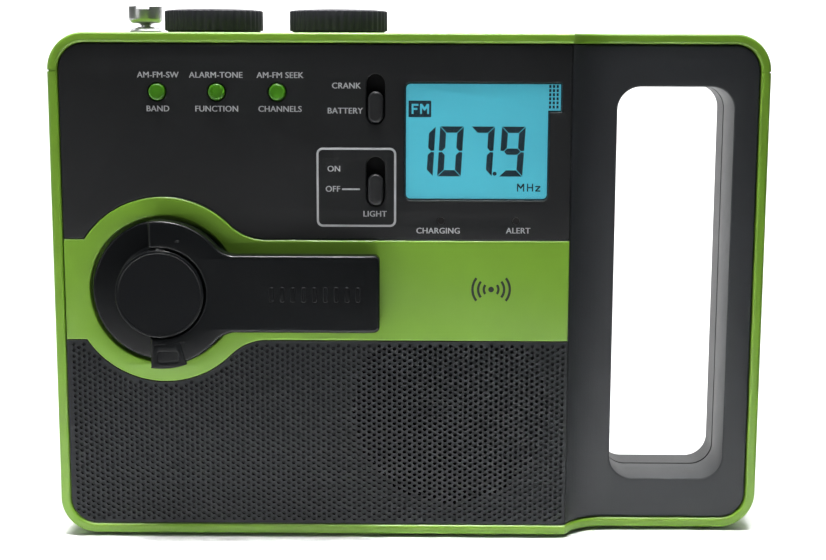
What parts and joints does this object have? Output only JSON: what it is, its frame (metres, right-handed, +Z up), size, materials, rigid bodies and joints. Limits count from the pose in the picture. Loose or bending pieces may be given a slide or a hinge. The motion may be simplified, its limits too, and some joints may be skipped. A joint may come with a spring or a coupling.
{
  "type": "emergency radio",
  "caption": "Hand-cranked portable radio: rounded casing with a carrying handle, fold-out dynamo crank, backlit display, speaker grille, side lamp and pull-up aerial.",
  "frame": {"origin": "middle of the object's width and depth, on the surface that its feet stand on", "axes": "+X to the handle side, as seen from the front; +Y from the front face to the back; +Z up"},
  "size_m": [0.215, 0.064, 0.1621],
  "materials": {
    "green_plastic": "satin moulded plastic, leaf green",
    "black_plastic": "fine satin texture, near black",
    "graphite_plastic": "fine satin texture, blue grey",
    "crank_plastic": "semi-gloss moulded plastic, black",
    "cap_plastic": "satin disc, black",
    "knob_plastic": "matt ribbed plastic, black",
    "button_plastic": "semi-gloss plastic, leaf green",
    "slider_plastic": "semi-gloss plastic, black",
    "window_plastic": "clear polished plastic",
    "lcd_glass": "backlit display, pale blue",
    "diffuser_plastic": "white diffuser",
    "led_plastic": "tinted lens, dark red",
    "board": "green circuit board",
    "sheet_steel": "plated sheet steel",
    "shaft_steel": "ground steel",
    "antenna_chrome": "polished chrome plating",
    "gear_plastic": "natural acetal, ivory",
    "brass": "turned brass",
    "magnet_iron": "ferrite magnet, dark grey",
    "coil_copper": "enamelled copper wire",
    "speaker_paper": "pressed paper cone, black",
    "cell_sleeve": "heat-shrink sleeve, blue",
    "cell_can": "nickel-plated cell cans",
    "rubber": "black rubber",
    "lens_plastic": "clear lens",
    "reflector": "metallised reflector",
    "led_clear": "clear epoxy lens"
  },
  "bodies": {
    "casing": {"perimeter_frame": "green_plastic", "front_cabinet": "graphite_plastic", "rear_cabinet": "black_plastic", "control_panel": "black_plastic", "crank_band": "green_plastic", "speaker_grille": "graphite_plastic", "display_window": "window_plastic", "lcd_panel": "lcd_glass", "lcd_backlight": "diffuser_plastic", "control_board": "board", "tact_switches": "sheet_steel", "slide_switch_bodies": "sheet_steel", "indicator_leds": "led_plastic", "main_board": "board", "volume_pot": "sheet_steel", "tuning_encoder": "sheet_steel", "speaker_frame": "sheet_steel", "speaker_magnet": "magnet_iron", "speaker_cone": "speaker_paper", "gearbox_plates": "sheet_steel", "gearbox_posts": "brass", "crank_bushing": "brass", "idler_pin": "shaft_steel", "generator_housing": "sheet_steel", "generator_coil": "coil_copper", "ferrite_rod": "magnet_iron", "ferrite_coil": "coil_copper", "rechargeable_pack": "cell_sleeve", "aa_cells": "cell_can", "battery_contacts": "sheet_steel", "antenna_tube": "antenna_chrome", "antenna_collar": "antenna_chrome", "lamp_reflector": "reflector", "lamp_lens": "lens_plastic", "lamp_leds": "led_clear", "charge_jack": "black_plastic", "earphone_jack": "black_plastic", "cabinet_screws": "shaft_steel", "rubber_feet": "rubber"},
    "crank": {"crank_hub": "crank_plastic", "hub_cap": "cap_plastic", "hinge_pin": "shaft_steel", "crank_gear": "gear_plastic"},
    "arm": {"crank_arm": "crank_plastic", "cup_rivet": "shaft_steel"},
    "cup": {"finger_cup": "crank_plastic"},
    "idler": {"idler_gear": "gear_plastic"},
    "rotor": {"generator_rotor": "magnet_iron"},
    "volume": {"volume_knob": "knob_plastic", "volume_shaft": "shaft_steel"},
    "tuning": {"tuning_knob": "knob_plastic", "tuning_shaft": "shaft_steel"},
    "band_key": {"band_button": "button_plastic"},
    "weather_key": {"weather_button": "button_plastic"},
    "scan_key": {"scan_button": "button_plastic"},
    "source_switch": {"source_slider": "slider_plastic"},
    "light_switch": {"light_slider": "slider_plastic"},
    "antenna_lower": {"antenna_mid": "antenna_chrome"},
    "antenna_upper": {"antenna_tip": "antenna_chrome"},
    "door": {"battery_door": "black_plastic"}
  },
  "joints": [
    {"name": "crank_turn", "type": "hinge", "parent": "casing", "child": "crank", "pos_m": [-0.0744, -0.02, 0.0769], "axis": [0, 1, 0], "continuous": true},
    {"name": "arm_fold", "type": "hinge", "parent": "crank", "child": "arm", "pos_m": [-0.0744, -0.0284, 0.0769], "axis": [0, 0, -1], "range_deg": [0, 180]},
    {"name": "cup_spin", "type": "hinge", "parent": "arm", "child": "cup", "pos_m": [-0.0213, -0.0284, 0.0769], "axis": [0, 1, 0], "continuous": true},
    {"name": "idler_spin", "type": "hinge", "parent": "casing", "child": "idler", "pos_m": [-0.04946, -0.002, 0.0913], "axis": [0, 1, 0], "continuous": true},
    {"name": "rotor_spin", "type": "hinge", "parent": "casing", "child": "rotor", "pos_m": [-0.04946, 0.006, 0.1153], "axis": [0, 1, 0], "continuous": true},
    {"name": "volume_turn", "type": "hinge", "parent": "casing", "child": "volume", "pos_m": [-0.0617, 0.004, 0.157], "axis": [0, 0, 1], "range_deg": [-150, 150]},
    {"name": "tuning_turn", "type": "hinge", "parent": "casing", "child": "tuning", "pos_m": [-0.023, 0.004, 0.157], "axis": [0, 0, 1], "continuous": true},
    {"name": "band_press", "type": "slide", "parent": "casing", "child": "band_key", "axis": [0, 1, 0], "range_m": [0, 0.0006], "stiffness_N_per_m": 300},
    {"name": "weather_press", "type": "slide", "parent": "casing", "child": "weather_key", "axis": [0, 1, 0], "range_m": [0, 0.0006], "stiffness_N_per_m": 300},
    {"name": "scan_press", "type": "slide", "parent": "casing", "child": "scan_key", "axis": [0, 1, 0], "range_m": [0, 0.0006], "stiffness_N_per_m": 300},
    {"name": "source_slide", "type": "slide", "parent": "casing", "child": "source_switch", "axis": [0, 0, 1], "range_m": [0, 0.0048]},
    {"name": "light_slide", "type": "slide", "parent": "casing", "child": "light_switch", "axis": [0, 0, 1], "range_m": [0, 0.0048]},
    {"name": "antenna_lower_pull", "type": "slide", "parent": "casing", "child": "antenna_lower", "axis": [0, 0, 1], "range_m": [0, 0.12]},
    {"name": "antenna_upper_pull", "type": "slide", "parent": "antenna_lower", "child": "antenna_upper", "axis": [0, 0, 1], "range_m": [0, 0.12]},
    {"name": "door_swing", "type": "hinge", "parent": "casing", "child": "door", "pos_m": [0.0033, 0.0302, 0.0087], "axis": [-1, 0, 0], "range_deg": [0, 80]}
  ],
  "couplings": [
    {"joint": "idler_spin", "follows": "crank_turn", "ratio": -5},
    {"joint": "rotor_spin", "follows": "crank_turn", "ratio": 20}
  ]
}
